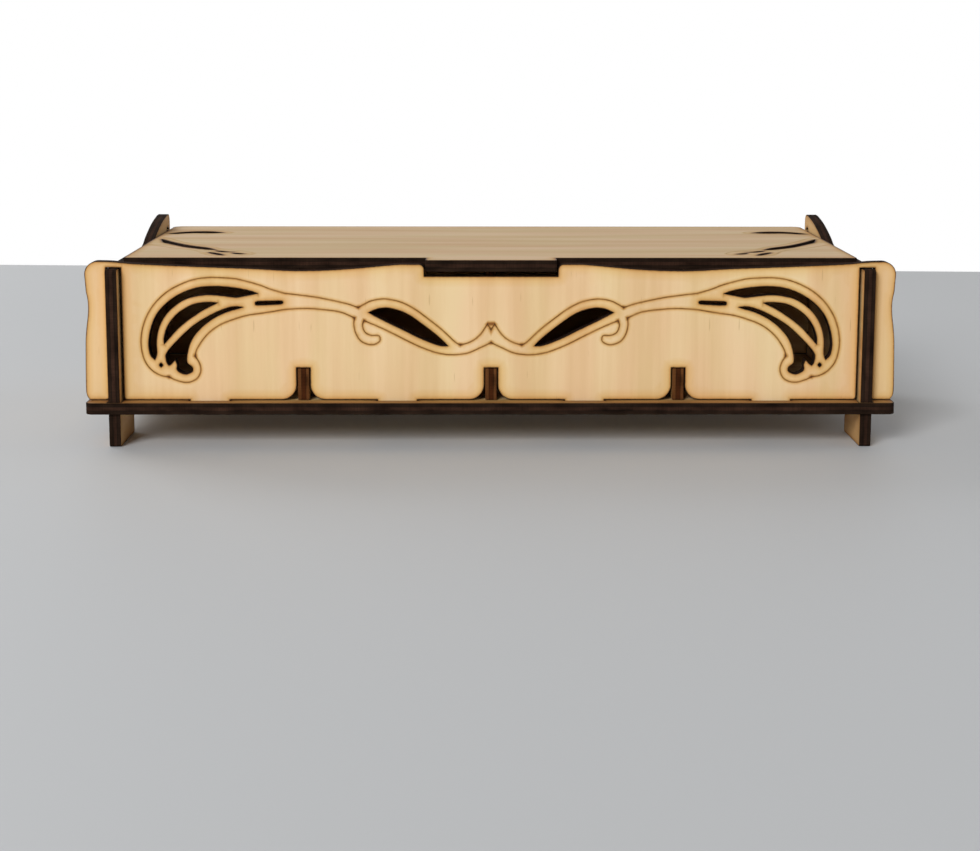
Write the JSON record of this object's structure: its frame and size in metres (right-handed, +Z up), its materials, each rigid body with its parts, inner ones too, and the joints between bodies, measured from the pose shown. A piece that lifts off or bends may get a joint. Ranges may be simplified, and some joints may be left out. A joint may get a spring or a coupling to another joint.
{
  "type": "compartment box",
  "caption": "Long low plywood box on feet, with side-by-side compartments, a pierced scrollwork front and a hinged lid with a finger tab.",
  "frame": {"origin": "centre of the box's footprint, on the surface that it stands on", "axes": "+X along the front to the right, +Y from the front to the hinge at the back, +Z up"},
  "size_m": [0.285, 0.1246, 0.0719],
  "materials": {
    "plywood_outer": "sanded birch plywood, laser-cut, with charred edges",
    "plywood_inner": "bare birch plywood, laser-cut, with charred edges"
  },
  "bodies": {
    "box": {"base_plate": "plywood_outer", "front_panel": "plywood_outer", "rear_panel": "plywood_inner", "left_side_panel": "plywood_inner", "right_side_panel": "plywood_inner", "divider_left": "plywood_inner", "divider_middle": "plywood_inner", "divider_right": "plywood_inner"},
    "lid": {"lid": "plywood_outer"}
  },
  "joints": [
    {"name": "lid_hinge", "type": "hinge", "parent": "box", "child": "lid", "pos_m": [0, 0.048, 0.0638], "axis": [-1, 0, 0], "range_deg": [0, 97]}
  ]
}
